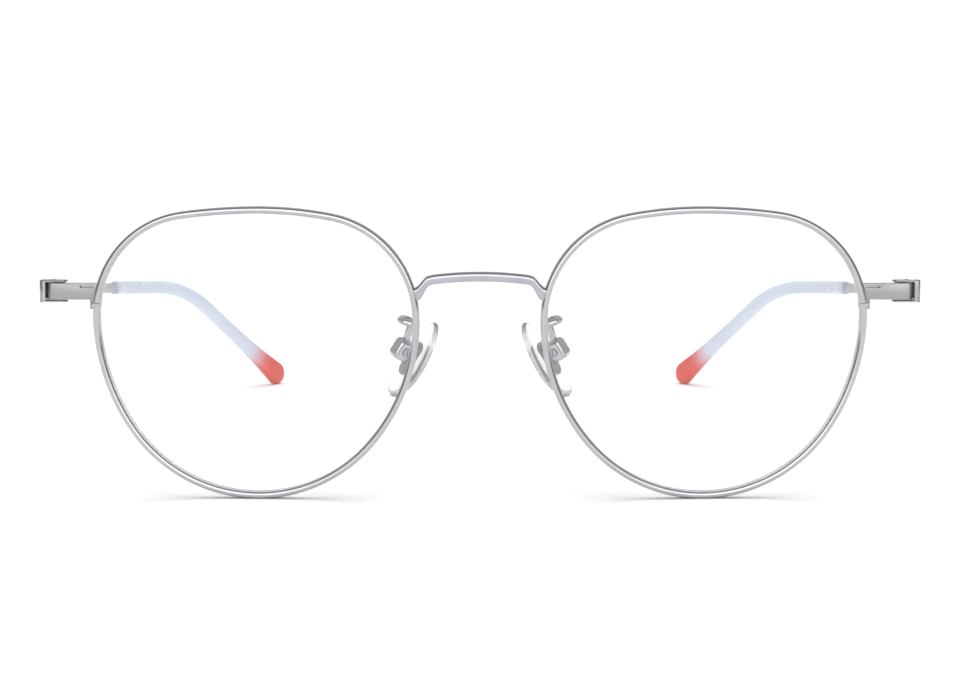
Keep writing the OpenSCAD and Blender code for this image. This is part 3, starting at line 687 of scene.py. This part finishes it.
def build_screws(word, side):
    shank = head_profile(PIN_R, BARREL_H, PIN_HEAD_R, PIN_HEAD_H, 0.06)
    hinge = build_screw(
        f"{word}_hinge_screw_slotted", side, AT_HINGE, [(r, z - BARREL_H / 2) for r, z in shank],
        BARREL_H / 2 + PIN_HEAD_H, 0.16, 0.24, 35)
    finish_piece(hinge, SCREW_METAL, "screw_metal", f"{word}_temple_arm", f"{word}_hinge_screw")
    foot = SPLIT_GAP / 2 + LOCK_H
    at_lock = AT_EYE @ move((LOCK_X0 + LOCK_X1) / 2, (RIM_D / 2 + LOCK_Y1) / 2, SPLIT_Z) @ turn_x(180)
    shank = head_profile(LOCK_SCREW_R, LUG_H + foot - LOCK_HEAD_H, LOCK_HEAD_R, LOCK_HEAD_H, 0.03)
    rim = build_screw(
        f"{word}_rim_screw_slotted", side, at_lock, [(r, z - LUG_H) for r, z in shank], foot, 0.14, 0.2, 20)
    finish_piece(rim, SCREW_METAL, "screw_metal", "front", f"{word}_rim_screw")
    shank = head_profile(PAD_PIN_R, BOX_W, PAD_PIN_HEAD_R, PAD_PIN_HEAD_H, 0.05)
    pad = build_screw(
        f"{word}_pad_screw_slotted", side, AT_PIVOT, [(r, z - BOX_W / 2) for r, z in shank],
        BOX_W / 2 + PAD_PIN_HEAD_H, 0.14, 0.2, 60)
    finish_piece(pad, SCREW_METAL, "screw_metal", "front", f"{word}_pad_screw")


# ---- pad boxes: a rounded casting with a slot for the pad's boss ----

def build_pad_box(word, side):
    at = on_side(side) @ AT_PAD
    box = box_mesh(f"{word}_pad_box_cast", (BOX_X0, -BOX_W / 2, PIVOT_Z - BOX_L / 2),
                   (BOX_X1, BOX_W / 2, PIVOT_Z + BOX_L / 2), at, side)
    round_off = box.modifiers.new("round", "BEVEL")
    round_off.width = BOX_ROUND * MM
    round_off.segments = 7
    cutter = box_mesh(f"{word}_cutter", (BOX_X0 - 1, -BOSS_SLOT / 2, PIVOT_Z - BOX_L),
                      (PIVOT_X + BOSS_R + BOSS_BACK_PLAY, BOSS_SLOT / 2, PIVOT_Z + BOSS_R + BOSS_TOP_PLAY),
                      at, side)
    cut_away(box, cutter)
    sharp_edges(box, 42)
    return finish_piece(box, BOX_METAL, "pad_box_metal", "front", f"{word}_pad_box")


# ---- CAD pieces that are shown, with softened edges ----

def soften(node, material, width):
    """Rounds a CAD node's edges in the render, without touching its mesh."""
    obj = nodes[node]
    obj.data.materials.clear()
    obj.data.materials.append(material)
    obj.data.polygons.foreach_set("use_smooth", [True] * len(obj.data.polygons))
    weld = obj.modifiers.new("weld", "WELD")
    weld.merge_threshold = 1e-6
    bevel = obj.modifiers.new("bevel", "BEVEL")
    bevel.width = width * MM
    bevel.segments = 3
    bevel.limit_method = "ANGLE"
    bevel.angle_limit = math.radians(32)
    bevel.harden_normals = True
    return obj


for word, side in SIDES.items():
    build_rim(word, side)
    build_lens(word, side)
    build_tip(word, side)
    build_pad(word, side)
    build_screws(word, side)
    soften(f"{word}_end_piece", SATIN_METAL, 0.14)
    soften(f"{word}_lock_block", HINGE_METAL, 0.1)
    soften(f"{word}_front_leaf", HINGE_METAL, 0.07)
    soften(f"{word}_temple_leaf", HINGE_METAL, 0.07)
    soften(f"{word}_temple", TEMPLE_METAL, 0.14)
    soften(f"{word}_pad_arm", ARM_METAL, 0.02)
    build_pad_box(word, side)
    soften(f"{word}_pad_insert", INSERT, 0.08)
build_bridge()


# ---- camera, floor and light ----

# In metres
VIEW_HEIGHT, VIEW_DISTANCE = 0.02533, 0.44
target = Vector((0, -CENTRE_Y * MM, VIEW_HEIGHT))
elevation = math.radians(6.9)
cam = bpy.data.cameras.new("camera")
cam.lens, cam.sensor_width = 105.3, 36
cam.clip_start, cam.clip_end = 0.01, 50
camera = bpy.data.objects.new("camera", cam)
bpy.context.scene.collection.objects.link(camera)
back = Vector((0, -math.cos(elevation), math.sin(elevation)))
camera.location = target + back * VIEW_DISTANCE
camera.rotation_mode = "QUATERNION"
camera.rotation_quaternion = (-back).to_track_quat("-Z", "Y")
bpy.context.scene.camera = camera

floor_mesh = bpy.data.meshes.new("floor")
reach, low = 8.0, cad_lo.z
floor_corners = [(-reach, -reach, low), (reach, -reach, low), (reach, reach, low), (-reach, reach, low)]
floor_mesh.from_pydata(floor_corners, [], [(0, 1, 2, 3)])
floor = bpy.data.objects.new("floor", floor_mesh)
bpy.context.scene.collection.objects.link(floor)
paint, _, paint_bsdf = new_material("floor_paint")
paint_bsdf.inputs["Base Color"].default_value = (0.9, 0.9, 0.9, 1)
paint_bsdf.inputs["Roughness"].default_value = 0.9
paint_bsdf.inputs["Specular IOR Level"].default_value = 0.1
floor.data.materials.append(paint)

# The camera sees plain white. The rest of the light is a bright patch in front with a dark ring round it.
world = bpy.data.worlds.new("studio")
bpy.context.scene.world = world
world.use_nodes = True
tree = world.node_tree
tree.nodes.clear()
out = tree.nodes.new("ShaderNodeOutputWorld")
plain = tree.nodes.new("ShaderNodeBackground")
plain.inputs["Color"].default_value = (1, 1, 1, 1)
plain.inputs["Strength"].default_value = 1.15
tent = tree.nodes.new("ShaderNodeBackground")
tent.inputs["Strength"].default_value = 2.4
coord = tree.nodes.new("ShaderNodeTexCoord")
towards = tree.nodes.new("ShaderNodeVectorMath")
towards.operation = "DOT_PRODUCT"
towards.inputs[1].default_value = tuple(Vector((0, -0.97, 0.22)).normalized())
shape = tree.nodes.new("ShaderNodeValToRGB")
shape.color_ramp.elements[0].position = 0.0
shape.color_ramp.elements[0].color = (0.23, 0.23, 0.235, 1)
shape.color_ramp.elements[1].position = 1.0
shape.color_ramp.elements[1].color = (1, 1, 1, 1)
for position, value in ((0.30, 0.24), (0.60, 0.06), (0.80, 0.12), (0.90, 0.85)):
    stop = shape.color_ramp.elements.new(position)
    stop.color = (value, value, value * 1.01, 1)
path = tree.nodes.new("ShaderNodeLightPath")
choose = tree.nodes.new("ShaderNodeMixShader")
tree.links.new(coord.outputs["Generated"], towards.inputs[0])
tree.links.new(towards.outputs["Value"], shape.inputs["Fac"])
tree.links.new(shape.outputs["Color"], tent.inputs["Color"])
tree.links.new(path.outputs["Is Camera Ray"], choose.inputs["Fac"])
tree.links.new(tent.outputs["Background"], choose.inputs[1])
tree.links.new(plain.outputs["Background"], choose.inputs[2])
tree.links.new(choose.outputs["Shader"], out.inputs["Surface"])

# A wide overhead light whitens the floor and stays out of the metal's reflections.
overhead = bpy.data.lights.new("overhead", "SUN")
overhead.angle = math.radians(70)
overhead.energy = 2.3
sky = bpy.data.objects.new("overhead", overhead)
bpy.context.scene.collection.objects.link(sky)
sky.visible_glossy = False

view = bpy.context.scene.view_settings
view.view_transform = "Standard"
view.look = "None"
view.exposure = 0.0
